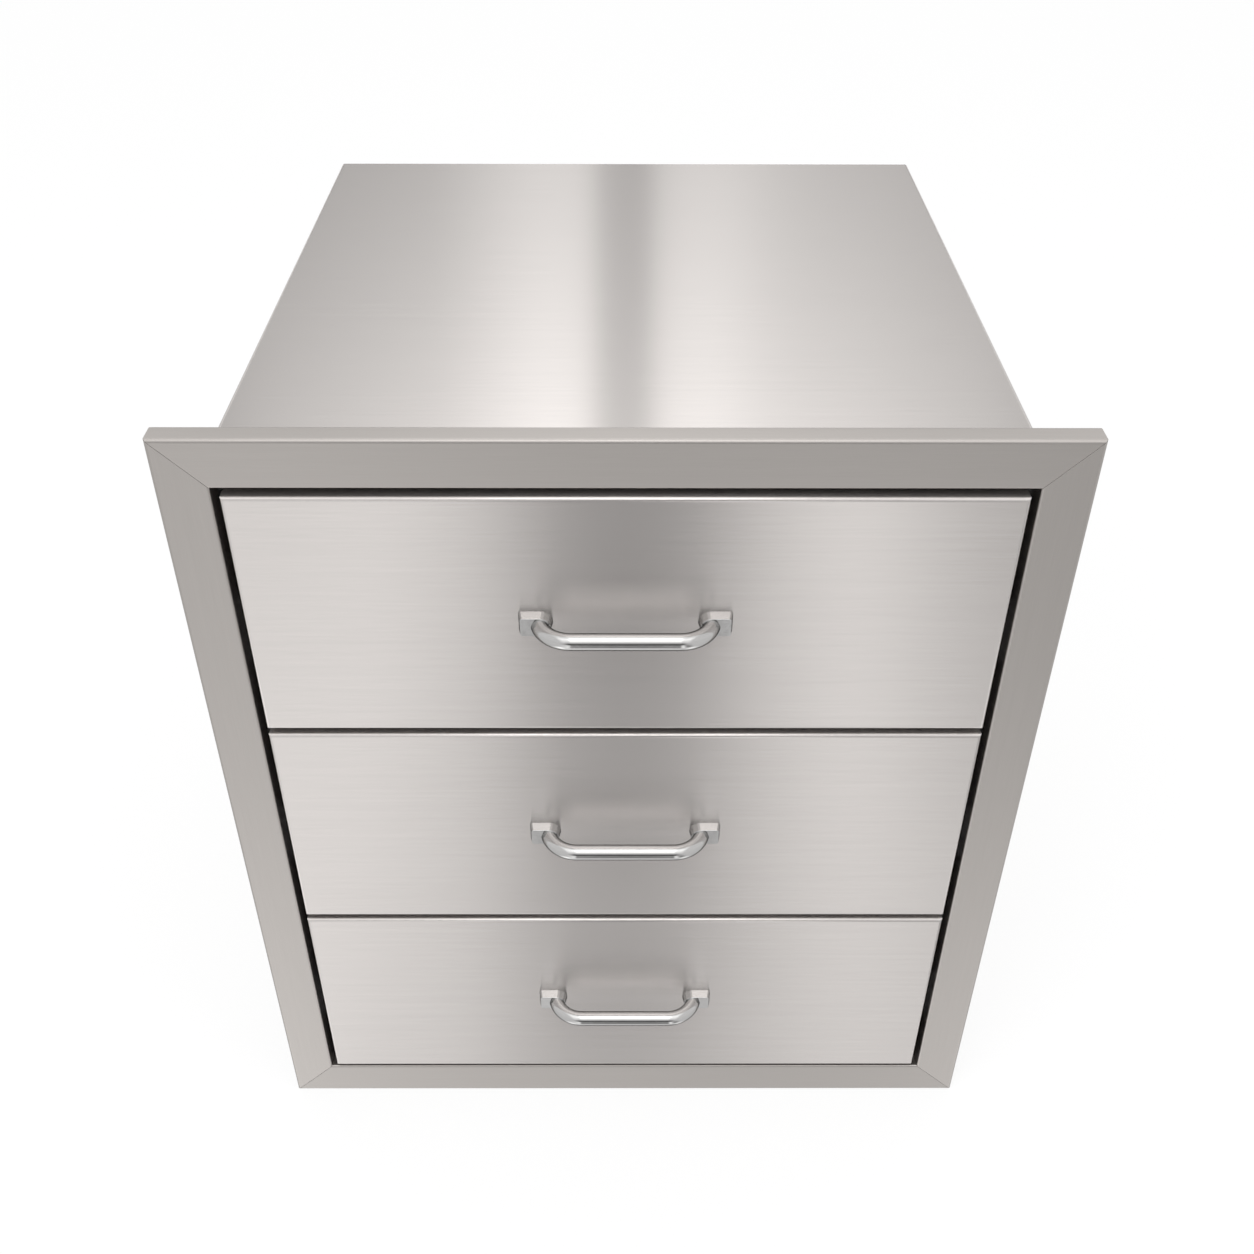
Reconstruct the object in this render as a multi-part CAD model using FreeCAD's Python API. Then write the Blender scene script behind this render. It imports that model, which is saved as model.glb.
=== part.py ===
import FreeCAD
import Part

import math
import os

# Built-in outdoor kitchen unit: a stainless sheet cabinet with three drawers.
# Lengths are in millimetres.
# X runs across the unit, with 0 in its middle plane.
# Y runs from the front to the back, with 0 on the island face that the trim seats on.
# Z runs up, with 0 on the underside of the cabinet.

# Trim frame: four mitred channels round the opening
trim_width = 508.0
trim_height = 577.0
trim_face = 30.0
trim_depth = 15.0
trim_sheet = 1.2
trim_bend = 0.6
trim_return = 12.0
trim_seat = 10.0

# Cabinet behind the trim
cabinet_inset = 22.5
cabinet_rear_room = 23.0
cabinet_sheet = 1.0
cabinet_bend = 1.5
floor_flange = 15.0
back_flange = 14.0

# Fixing holes in each side, one above the other
fixing_radius = 2.75
fixing_front = 105.0
fixing_low = 111.0
fixing_pitch = 341.0

# Uprights: hat channels on the side walls
upright_sheet = 1.0
upright_bend = 0.6
upright_web = 35.0
upright_flange = 12.0
upright_front = 12.0
upright_rear_gap = 4.0
upright_end_gap = 2.0

# Drawers and the gaps round their fronts
drawer_names = ("bottom", "middle", "top")
drawer_gap = 4.5
drawer_proud = 2.0

# Drawer front: a shell closed by a liner
front_sheet = 1.0
front_bend = 0.6
front_thickness = 18.0
liner_flange = 8.0

# Drawer box, shorter than its slides by the room behind it
box_sheet = 1.0
box_bend = 0.8
box_rear_room = 10.0
box_height = 120.0
box_rise = 14.0
rim_width = 10.0
rim_drop = 7.0
back_foot = 12.0
relief = 0.3

# Ball-bearing slides: outer, intermediate and inner members
opening_clearance = 0.7
slide_width = 12.7
slide_height = 45.0
slide_length = 450.0
slide_setback = 3.0
slide_rise = 60.0
outer_sheet = 1.2
outer_reach = 10.6
member_sheet = 1.0
member_bend = 0.4
web_gap = 1.4
inner_reach = 7.7
inner_rear_room = 10.0
ball_radius = 1.5
ball_clearance = 0.3
running_gap = 0.4

# Ball cages
cage_sheet = 0.5
cage_start = 112.0
cage_length = 200.0
cage_bridge = 16.0
ball_count = 2
ball_sides = 4
ball_margin = 30.0

# Rubber stops in the rear of the outer members
stop_length = 5.0
stop_height = 16.0
stop_width = 6.0
stop_gap = 0.5

# Flat hexagon heads that hold the outer members to the uprights
screw_across = 7.0
screw_head = 0.9

# Handles
handle_centres = 98.0
bar_radius = 5.0
bar_bend = 19.4
bar_steps = 4
base_thickness = 6.0
base_end = 12.7
base_round = 7.3
base_corner = 1.6
base_chamfer = 0.9
handle_screw_across = 8.0
handle_screw_head = 3.6

# Release levers on the inner members
lever_pin_radius = 1.5
lever_pin_gap = 0.05
lever_place = 192.0
lever_thickness = 2.0
lever_arm = 30.0
lever_tail = 8.0
lever_tab = 9.0
lever_tab_half = 4.6
lever_waist = 1.8
lever_hub = 3.2
lever_side_gap = 0.3

# Places that follow from the sizes above
half_trim = trim_width / 2
trim_bottom = -cabinet_inset
half_opening = half_trim - trim_face
opening_bottom = trim_bottom + trim_face
cabinet_half = half_trim - cabinet_inset
cabinet_inside = cabinet_half - cabinet_sheet
cabinet_height = trim_height - 2 * cabinet_inset
cabinet_front = trim_sheet - trim_depth
half_front = half_opening - drawer_gap
front_height = (trim_height - 2 * trim_face - drawer_gap) / len(drawer_names) - drawer_gap
front_face = -trim_depth - drawer_proud
front_rear = front_face + front_thickness
slide_side = half_opening - opening_clearance
slide_front = front_rear + slide_setback
slide_rear = slide_front + slide_length
cabinet_depth = slide_rear + cabinet_rear_room
back_front = cabinet_depth - back_flange
box_half = slide_side - slide_width
box_rear = front_rear + slide_length - box_rear_room
ball_space = 2 * (ball_radius + ball_clearance)
base_front = front_face - base_thickness

# Places in the section of a slide: t runs from the outer member's web towards the drawer
outer_half = slide_height / 2
intermediate_half = outer_half - outer_sheet - ball_space
inner_half = intermediate_half - member_sheet - ball_space
intermediate_web = outer_sheet + web_gap
intermediate_edge = slide_width - member_sheet - running_gap
inner_edge = slide_width - inner_reach
upright_places = (
    upright_front,
    back_front - upright_rear_gap - upright_web - 2 * upright_flange,
)


def vec(x, y, z):
    """Vector from its three parts."""
    return FreeCAD.Vector(x, y, z)


def block(x, y, z):
    """Box between the two limits given for each axis."""
    return Part.makeBox(x[1] - x[0], y[1] - y[0], z[1] - z[0], vec(x[0], y[0], z[0]))


def mirrored(shape):
    """The same shape on the other side of the unit's middle plane."""
    return shape.mirror(vec(0, 0, 0), vec(1, 0, 0))


def in_space(along, start, point):
    """Point of a section drawn across the named axis, at the given place on that axis."""
    a, b = point.x, point.y
    places = {"x": (start, a, b), "y": (a, start, b), "z": (a, b, start)}
    return vec(*places[along])


def line_between(along, start, first, second):
    """Straight edge between two section points."""
    return Part.makeLine(in_space(along, start, first), in_space(along, start, second))


def run_of_edges(corners, radii, least_arc, along, start):
    """Edges through the corners of a section, with a bend of its radius at each inner corner.

    A bend of at least the given radius is an arc, and a smaller one is a single flat."""
    edges = []
    last = corners[0]
    for before, corner, after, radius in zip(corners, corners[1:], corners[2:], radii):
        back = (before - corner).normalize()
        ahead = (after - corner).normalize()
        half_angle = back.getAngle(ahead) / 2
        reach = radius / math.tan(half_angle)
        middle_line = (back + ahead).normalize()
        middle = corner + middle_line * (radius / math.sin(half_angle) - radius)
        ends = [corner + back * reach, corner + ahead * reach]
        edges.append(line_between(along, start, last, ends[0]))
        if radius >= least_arc:
            arc = [in_space(along, start, p) for p in (ends[0], middle, ends[1])]
            edges.append(Part.Arc(*arc).toShape())
        else:
            edges.append(line_between(along, start, *ends))
        last = ends[1]
    edges.append(line_between(along, start, last, corners[-1]))
    return edges


def folded(path, sheet, bend, along, limits, in_view=False):
    """Sheet folded along a path of section points, which it lies to the left of.

    The bend is the inner radius of each fold, and limits are the sheet's two ends on the axis.
    A sheet in view has its outer bends round, and all other bends are single flats."""
    outside = [vec(a, b, 0) for a, b in path]
    runs = [(q - p).normalize() for p, q in zip(outside, outside[1:])]
    left = [vec(-d.y, d.x, 0) for d in runs]
    inside = [outside[0] + left[0] * sheet]
    outer_radii = []
    inner_radii = []
    for corner, n, m, d, e in zip(outside[1:], left, left[1:], runs, runs[1:]):
        inside.append(corner + (n + m) * (sheet / (1 + n.dot(m))))
        turns_left = d.x * e.y - d.y * e.x > 0
        outer_radii.append(bend + sheet if turns_left else bend)
        inner_radii.append(bend if turns_left else bend + sheet)
    inside.append(outside[-1] + left[-1] * sheet)
    least_arc = bend + sheet / 2 if in_view else math.inf
    start = limits[0]
    edges = run_of_edges(outside, outer_radii, least_arc, along, start)
    edges.append(line_between(along, start, outside[-1], inside[-1]))
    edges += run_of_edges(inside[::-1], inner_radii[::-1], least_arc, along, start)
    edges.append(line_between(along, start, inside[0], outside[0]))
    face = Part.Face(Part.Wire(edges))
    span = in_space(along, limits[1], vec(0, 0, 0)) - in_space(along, start, vec(0, 0, 0))
    return face.extrude(span)


def prism(corners, along, limits):
    """Straight-sided solid with the given section corners."""
    points = [in_space(along, limits[0], vec(a, b, 0)) for a, b in corners]
    face = Part.Face(Part.makePolygon(points + points[:1]))
    span = in_space(along, limits[1], vec(0, 0, 0)) - in_space(along, limits[0], vec(0, 0, 0))
    return face.extrude(span)


def edges_at(shape, y):
    """Edges of a shape that lie in the plane at y."""
    return [e for e in shape.Edges if abs(e.BoundBox.YMin - y) + abs(e.BoundBox.YMax - y) < 1e-4]


def pan(x, y, z, sheet, bend, open_to_back, in_view=False, corner_cut=0.0):
    """Sheet pan with a flange on all four sides, welded at its corners.

    A pan in view has its outer bends round, and all other bends are single flats."""
    face_y = y[0] if open_to_back else y[1]
    body = block(x, y, z)
    if corner_cut > 0:
        upper = [e for e in body.Edges if e.BoundBox.ZMin > z[1] - 1e-4 and e.BoundBox.YLength > 1]
        body = body.makeChamfer(corner_cut, upper)
    rim = edges_at(body, face_y)
    body = body.makeFillet(bend + sheet, rim) if in_view else body.makeChamfer(bend, rim)
    open_y = (y[0] + sheet, y[1] + sheet) if open_to_back else (y[0] - sheet, y[1] - sheet)
    hollow_face = open_y[0] if open_to_back else open_y[1]
    hollow = block((x[0] + sheet, x[1] - sheet), open_y, (z[0] + sheet, z[1] - sheet))
    return body.cut(hollow.makeChamfer(bend / 2, edges_at(hollow, hollow_face)))


def save(name, *solids):
    """Write one sub-part, and print what it is made of."""
    shape = solids[0] if len(solids) == 1 else Part.makeCompound(solids)
    shape.exportStep("parts/" + name + ".step")
    print(name, len(shape.Solids), "solids", round(shape.Volume / 1000, 2), "cm3", shape.isValid())


# Trim frame


def trim_rail(length, reach, turn):
    """One channel of the frame, mitred at both ends.

    It is drawn as the top one, its outer edge at reach above the frame's centre, and turned."""
    section = [
        (0.0, reach - trim_seat),
        (0.0, reach),
        (-trim_depth, reach),
        (-trim_depth, reach - trim_face),
        (trim_return - trim_depth, reach - trim_face),
    ]
    channel = folded(section, trim_sheet, trim_bend, "x", (-length / 2, length / 2), True)
    half = length / 2
    mitre = [
        (-half, reach),
        (half, reach),
        (half - trim_face, reach - trim_face),
        (trim_face - half, reach - trim_face),
    ]
    rail = channel.common(prism(mitre, "y", (-trim_depth, 0.0)))
    rail.rotate(vec(0, 0, 0), vec(0, 1, 0), turn)
    rail.translate(vec(0, 0, trim_bottom + trim_height / 2))
    return rail


def make_trim():
    """Four mitred channels round the opening."""
    save("trim_top", trim_rail(trim_width, trim_height / 2, 0))
    save("trim_right", trim_rail(trim_height, trim_width / 2, 90))
    save("trim_bottom", trim_rail(trim_width, trim_height / 2, 180))
    save("trim_left", trim_rail(trim_height, trim_width / 2, 270))


# Cabinet


def side_holes():
    """Drills for the fixing holes, right through the unit."""
    drills = []
    for z in (fixing_low, fixing_low + fixing_pitch):
        foot = vec(-cabinet_half - 1, fixing_front, z)
        drills.append(Part.makeCylinder(fixing_radius, 2 * cabinet_half + 2, foot, vec(1, 0, 0)))
    return drills


def make_cabinet():
    """Wrap, floor and back of the cabinet."""
    c = cabinet_half
    section = [(c, 0.0), (c, cabinet_height), (-c, cabinet_height), (-c, 0.0)]
    wrap = folded(section, cabinet_sheet, cabinet_bend, "y", (cabinet_front, cabinet_depth), True)
    save("cabinet_wrap", wrap.cut(side_holes()))
    i = cabinet_inside
    section = [(-i, floor_flange), (-i, 0.0), (i, 0.0), (i, floor_flange)]
    save("cabinet_floor", folded(section, cabinet_sheet, cabinet_bend, "y", (cabinet_front, back_front)))
    back_depth = (back_front, cabinet_depth)
    back_height = (0.0, cabinet_height - cabinet_sheet)
    back = pan((-i, i), back_depth, back_height, cabinet_sheet, cabinet_bend, False,
               corner_cut=cabinet_bend + cabinet_sheet)
    save("cabinet_back", back)


def upright(front):
    """Hat channel on the right wall, with its web towards the drawers."""
    wall = cabinet_inside
    section = [
        (wall - upright_sheet, front),
        (wall - upright_sheet, front + upright_flange),
        (slide_side, front + upright_flange),
        (slide_side, front + upright_flange + upright_web),
        (wall - upright_sheet, front + upright_flange + upright_web),
        (wall - upright_sheet, front + 2 * upright_flange + upright_web),
    ]
    low = floor_flange + upright_end_gap
    high = cabinet_height - cabinet_sheet - cabinet_bend - upright_end_gap
    return folded(section[::-1], upright_sheet, upright_bend, "z", (low, high))


def make_uprights():
    """Front and rear uprights on both sides."""
    for place, front in zip(("front", "rear"), upright_places):
        right = upright(front)
        save("upright_" + place + "_right", right)
        save("upright_" + place + "_left", mirrored(right))


# Slides


def slide_x(t):
    """Place across the unit of a point in the right slide's section."""
    return slide_side - t


def slide_member(web, edge, half, lip, sheet, limits, height):
    """Slide member with its web at one side and both flanges reaching to the other.

    A lip other than None turns each flange's edge in, down to that distance from the middle."""
    points = [(edge, -half), (web, -half), (web, half), (edge, half)]
    if lip is not None:
        points = [(edge, -lip)] + points + [(edge, lip)]
    section = [(slide_x(t), z + height) for t, z in points]
    if web > edge:
        section.reverse()
    return folded(section, sheet, member_bend, "y", limits)


def outer_member(height):
    """Fixed member of the right slide, a channel open towards the drawer."""
    lip = intermediate_half + running_gap
    limits = (slide_front, slide_rear)
    return slide_member(0.0, outer_reach, outer_half, lip, outer_sheet, limits, height)


def intermediate_member(height):
    """Middle member, which runs between the other two."""
    lip = inner_half + running_gap
    limits = (slide_front, slide_rear - stop_length - stop_gap)
    web = intermediate_web
    return slide_member(web, intermediate_edge, intermediate_half, lip, member_sheet, limits, height)


def inner_member(height):
    """Member on the drawer, with the pin that its release lever turns on."""
    limits = (slide_front, slide_rear - inner_rear_room)
    member = slide_member(slide_width, inner_edge, inner_half, None, member_sheet, limits, height)
    foot = vec(slide_x(slide_width - member_sheet), lever_place, height)
    length = lever_thickness + 2 * lever_side_gap
    return member.fuse(Part.makeCylinder(lever_pin_radius, length, foot, vec(1, 0, 0)))


def ball(centre):
    """Ball with few faces, so that whole rows of them stay light."""
    rings = []
    for slope in (-60, 0, 60):
        level = ball_radius * math.sin(math.radians(slope))
        reach = ball_radius * math.cos(math.radians(slope))
        corners = []
        for number in range(ball_sides + 1):
            turn = 2 * math.pi * number / ball_sides
            corners.append(centre + vec(reach * math.cos(turn), reach * math.sin(turn), level))
        rings.append(Part.makePolygon(corners))
    return Part.makeLoft(rings, True, True)


def ball_cage(bridge, edge, row, height):
    """Cage of one slide: two strips with their balls, joined by a bridge at the rear."""
    rear = cage_start + cage_length
    half_sheet = cage_sheet / 2
    across = (slide_x(edge), slide_x(bridge))
    bridge_x = (slide_x(bridge + cage_sheet), slide_x(bridge))
    cage = block(bridge_x, (rear - cage_bridge, rear), (height - row, height + row))
    step = (cage_length - 2 * ball_margin) / (ball_count - 1)
    for side in (-1, 1):
        z = height + side * row
        cage = cage.fuse(block(across, (cage_start, rear), (z - half_sheet, z + half_sheet)))
        for number in range(ball_count):
            y = cage_start + ball_margin + number * step
            cage = cage.fuse(ball(vec(sum(across) / 2, y, z)))
    return cage.removeSplitter()


def outer_cage(height):
    """Cage between the outer and the intermediate member."""
    bridge = outer_sheet + (web_gap - cage_sheet) / 2
    edge = outer_reach - outer_sheet - running_gap
    row = intermediate_half + ball_space / 2
    return ball_cage(bridge, edge, row, height)


def inner_cage(height):
    """Cage between the intermediate and the inner member."""
    web = intermediate_web + member_sheet
    bridge = web + (inner_edge - web - cage_sheet) / 2
    edge = intermediate_edge - member_sheet - running_gap
    row = inner_half + ball_space / 2
    return ball_cage(bridge, edge, row, height)


def release_lever(height):
    """Flat lever on the pin of the right inner member, its tab towards the front."""
    near = slide_width - member_sheet - lever_side_gap
    limits = (slide_x(near), slide_x(near - lever_thickness))
    tab = lever_arm + lever_tab
    upper = [
        (lever_tail, lever_waist),
        (lever_hub, lever_hub),
        (-lever_hub, lever_hub),
        (-lever_arm, lever_waist),
        (-lever_arm, lever_tab_half),
        (-tab, lever_tab_half),
    ]
    outline = upper + [(y, -z) for y, z in reversed(upper)]
    corners = [(lever_place + y, height + z) for y, z in outline]
    lever = prism(corners, "x", limits)
    foot = vec(limits[0] - 1, lever_place, height)
    hole = Part.makeCylinder(lever_pin_radius + lever_pin_gap, lever_thickness + 2, foot, vec(1, 0, 0))
    return lever.cut(hole)


def make_slides(name, height):
    """Both slides of one drawer, with their cages and levers."""
    outer = outer_member(height)
    save(name + "_slide_outer_right", outer)
    save(name + "_slide_outer_left", mirrored(outer))
    for piece, shape in (
        ("slide_intermediates", intermediate_member(height)),
        ("slide_inners", inner_member(height)),
        ("ball_cages_outer", outer_cage(height)),
        ("ball_cages_inner", inner_cage(height)),
    ):
        save(name + "_" + piece, mirrored(shape), shape)
    lever = release_lever(height)
    save(name + "_release_lever_right", lever)
    save(name + "_release_lever_left", mirrored(lever))


def hexagon_head(across, centre_a, centre_b, along, limits):
    """Head of a screw that points along the named axis."""
    reach = across / math.sqrt(3)
    corners = []
    for number in range(6):
        turn = number * math.pi / 3
        corners.append((centre_a + reach * math.cos(turn), centre_b + reach * math.sin(turn)))
    return prism(corners, along, limits)


def make_slide_fixings(heights):
    """Screw heads and rubber stops in the outer members."""
    screws = []
    stops = []
    for height in heights:
        for front in upright_places:
            y = front + upright_flange + upright_web / 2
            across = (slide_x(outer_sheet + screw_head), slide_x(outer_sheet))
            screw = hexagon_head(screw_across, y, height, "x", across)
            screws += [screw, mirrored(screw)]
        across = (slide_x(outer_sheet + stop_width), slide_x(outer_sheet))
        half = stop_height / 2
        stop = block(across, (slide_rear - stop_length, slide_rear), (height - half, height + half))
        stops += [stop, mirrored(stop)]
    save("slide_screws", *screws)
    save("slide_stops", *stops)


# Drawers


def make_front(name, low):
    """Shell and liner of one drawer's front."""
    high = low + front_height
    half = half_front
    depth = (front_face, front_rear)
    shell = pan((-half, half), depth, (low, high), front_sheet, front_bend, True, True)
    save(name + "_front_shell", shell)
    half = half_front - front_sheet
    depth = (front_rear - liner_flange, front_rear)
    inside = (low + front_sheet, high - front_sheet)
    save(name + "_front_liner", pan((-half, half), depth, inside, front_sheet, front_bend, False))


def make_box(name, low):
    """Tray and back of one drawer's box."""
    half = box_half
    high = low + box_height
    section = [
        (half - rim_width, high - rim_drop),
        (half - rim_width, high),
        (half, high),
        (half, low),
    ]
    section = [(-x, z) for x, z in section] + section[::-1]
    tray = folded(section, box_sheet, box_bend, "y", (front_rear, box_rear))
    notch_x = (half - rim_width - box_sheet, half - box_sheet)
    notch_y = (box_rear - rim_width - relief, box_rear + relief)
    notch = block(notch_x, notch_y, (high - rim_drop - box_sheet, high + box_sheet))
    save(name + "_box_tray", tray.cut([notch, mirrored(notch)]))
    floor = low + box_sheet
    section = [
        (box_rear - back_foot, floor),
        (box_rear, floor),
        (box_rear, high),
        (box_rear - rim_width, high),
        (box_rear - rim_width, high - rim_drop),
    ]
    inside = half - box_sheet - relief
    back = folded(section, box_sheet, box_bend, "x", (-inside, inside))
    corner = inside - box_bend
    trim_x = (corner, inside + relief)
    trim = block(trim_x, (box_rear - back_foot - 1, box_rear + 1), (floor - 1, floor + box_bend + relief))
    save(name + "_box_back", back.cut([trim, mirrored(trim)]))


def handle_bar(height):
    """Round bar bent from one piece, its legs curving out of the middles of the bases.

    Each bend is a few short steps, mitred to each other."""
    start = math.asin(base_thickness / bar_bend)
    end = handle_centres / 2 - bar_bend * math.cos(start)
    half = []
    for number in range(bar_steps + 1):
        turn = start + (math.pi / 2 - start) * number / bar_steps
        half.append(vec(end + bar_bend * math.cos(turn), front_face - bar_bend * math.sin(turn), height))
    ahead = half[1] - half[0]
    half[0] -= ahead
    path = Part.makePolygon(half + [vec(-p.x, p.y, p.z) for p in reversed(half)])
    section = Part.Wire([Part.Circle(half[0], ahead, bar_radius).toShape()])
    in_front = block(
        (-handle_centres, handle_centres),
        (front_face - bar_bend - 2 * bar_radius, base_front),
        (height - 2 * bar_radius, height + 2 * bar_radius),
    )
    return path.makePipeShell([section], True, False, 1).common(in_front)


def handle_base(height):
    """Pad under the right leg: square outboard, half round towards the middle."""
    leg = handle_centres / 2
    outer = leg + base_end
    low, high = height - base_round, height + base_round
    round_end = [vec(leg, front_face, high), vec(leg - base_round, front_face, height)]
    outline = [
        (leg, low),
        (outer - base_corner, low),
        (outer, low + base_corner),
        (outer, high - base_corner),
        (outer - base_corner, high),
        (leg, high),
    ]
    points = [vec(x, front_face, z) for x, z in outline]
    edges = [Part.Arc(*round_end, points[0]).toShape()]
    edges += [Part.makeLine(p, q) for p, q in zip(points, points[1:])]
    body = Part.Face(Part.Wire(edges)).extrude(vec(0, base_front - front_face, 0))
    return body.makeChamfer(base_chamfer, edges_at(body, base_front))


def handle_screw(height):
    """Hexagon head inside the front, in line with the right leg."""
    seat = front_face + front_sheet
    limits = (seat, seat + handle_screw_head)
    return hexagon_head(handle_screw_across, handle_centres / 2, height, "y", limits)


def make_handle(name, height):
    """Bar, bases and screws of one handle."""
    save(name + "_handle_bar", handle_bar(height))
    base = handle_base(height)
    save(name + "_handle_bases", mirrored(base), base)
    screw = handle_screw(height)
    save(name + "_handle_screws", mirrored(screw), screw)


def make_unit():
    """Write every sub-part of the unit."""
    os.makedirs("parts", exist_ok=True)
    make_trim()
    make_cabinet()
    make_uprights()
    slide_heights = []
    for number, name in enumerate(drawer_names):
        low = opening_bottom + drawer_gap + number * (front_height + drawer_gap)
        slide_heights.append(low + slide_rise)
        make_front(name, low)
        make_box(name, low + box_rise)
        make_slides(name, low + slide_rise)
        make_handle(name, low + front_height / 2)
    make_slide_fixings(slide_heights)


make_unit()
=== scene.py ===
import logging
import math
from dataclasses import dataclass
from enum import Enum
from typing import Any, Callable, Iterable, Sequence

import bmesh
import bpy
from mathutils import Matrix, Vector


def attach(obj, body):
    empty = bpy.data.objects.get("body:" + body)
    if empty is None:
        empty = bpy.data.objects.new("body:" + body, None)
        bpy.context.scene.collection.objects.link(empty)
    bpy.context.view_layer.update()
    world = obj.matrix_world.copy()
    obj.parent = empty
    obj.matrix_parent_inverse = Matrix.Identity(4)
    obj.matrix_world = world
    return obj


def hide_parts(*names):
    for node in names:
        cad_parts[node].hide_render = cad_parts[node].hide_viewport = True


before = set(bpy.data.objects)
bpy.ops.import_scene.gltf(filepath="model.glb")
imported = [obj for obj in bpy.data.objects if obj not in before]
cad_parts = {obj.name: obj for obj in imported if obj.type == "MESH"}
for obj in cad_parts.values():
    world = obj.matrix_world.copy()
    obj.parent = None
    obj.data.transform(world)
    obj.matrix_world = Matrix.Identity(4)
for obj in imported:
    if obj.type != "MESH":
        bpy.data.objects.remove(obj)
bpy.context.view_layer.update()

# Lengths are in millimetres until a piece is finished, and angles are in degrees.
# X runs across the unit, Y from its front to its back and Z up, as in the frame.
MM = 0.001
# Turns a shape into its mirror image on the other side of the unit.
OTHER_SIDE = Matrix.Diagonal((-1.0, 1.0, 1.0, 1.0))
# An edge is a cut one where its faces meet at more than this angle.
CUT_ANGLE = 50.0
log = logging.getLogger("drawer_unit")

Point = tuple[float, float, float]
Spot = tuple[float, float]
Edges = list[bmesh.types.BMEdge]
Tree = bpy.types.NodeTree
# An output of a node, or a node that stands for its first output.
Source = bpy.types.Node | bpy.types.NodeSocket


class Axis(Enum):
    """Axis that a section is drawn out along, with where a section's two numbers go."""

    X = (1, 2, 0)
    Y = (0, 2, 1)
    Z = (0, 1, 2)

    def place(self, spot: Spot, along: float) -> Vector:
        """Point with the two section numbers and the place along the axis."""
        point = Vector((0.0, 0.0, 0.0))
        point[self.value[0]], point[self.value[1]], point[self.value[2]] = *spot, along
        return point

    @property
    def unit(self) -> Vector:
        """Unit vector of the axis."""
        return self.place((0.0, 0.0), 1.0)

    def stand(self, middle: Point) -> Matrix:
        """Move that stands a shape of the Z axis on this axis, round a point."""
        turn = Vector((0, 0, 1)).rotation_difference(self.unit).to_matrix().to_4x4()
        return Matrix.Translation(middle) @ turn


class Grain(Enum):
    """Way the lines of a brushed sheet run: their size along each axis, and a vector square to them."""

    ACROSS = ((26.0, 0.35, 0.35), (0.03, 0.70, 0.72))
    UPRIGHT = ((0.35, 0.35, 26.0), (0.80, 0.60, 0.03))


def linear(colour: str) -> tuple[float, float, float, float]:
    """Linear colour of an sRGB hex value.

    Args:
        colour: Six hex digits after a hash sign.

    Returns:
        Red, green, blue and an alpha of 1, as shader sockets take them.
    """
    parts = [int(colour[i : i + 2], 16) / 255 for i in (1, 3, 5)]
    red, green, blue = (
        c / 12.92 if c <= 0.04045 else ((c + 0.055) / 1.055) ** 2.4 for c in parts
    )
    return red, green, blue, 1.0


def emptied(owner: bpy.types.Material | bpy.types.World) -> Tree:
    """Node tree of a material or world, with nothing in it."""
    owner.use_nodes = True
    owner.node_tree.nodes.clear()
    return owner.node_tree


def placed(name: str, data: bpy.types.ID) -> bpy.types.Object:
    """New object of the scene."""
    made = bpy.data.objects.new(name, data)
    bpy.context.scene.collection.objects.link(made)
    return made


def node(
    tree: Tree,
    kind: str,
    settings: dict[str, Any] | None = None,
    inputs: dict[str | int, Any] | None = None,
) -> bpy.types.Node:
    """Add a node with its settings and links.

    Args:
        tree: Node tree that it joins.
        kind: Blender's name of the node's type, without ShaderNode.
        settings: Values of the node's own properties.
        inputs: For a socket's name or number, a value, or the source that it is linked to.

    Returns:
        The new node.
    """
    made = tree.nodes.new("ShaderNode" + kind)
    for name, value in (settings or {}).items():
        setattr(made, name, value)
    for socket, value in (inputs or {}).items():
        if isinstance(value, bpy.types.Node):
            value = value.outputs[0]
        if isinstance(value, bpy.types.NodeSocket):
            tree.links.new(value, made.inputs[socket])
        else:
            made.inputs[socket].default_value = value
    return made


def ramp(
    tree: Tree,
    factor: Source,
    stops: Sequence[tuple[float, str | float]],
) -> Source:
    """Colour ramp between hex colours or grey levels.

    Args:
        tree: Node tree that it joins.
        factor: Output that drives it.
        stops: Place from 0 to 1 and hex colour, or linear grey level, of each stop, in order.

    Returns:
        The ramp's colour output.
    """
    made = node(tree, "ValToRGB", inputs={"Fac": factor})
    band = made.color_ramp
    while len(band.elements) < len(stops):
        band.elements.new(1.0)
    for element, (place, colour) in zip(band.elements, stops):
        element.position = place
        element.color = linear(colour) if isinstance(colour, str) else (colour, colour, colour, 1.0)
    return made.outputs["Color"]


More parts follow.
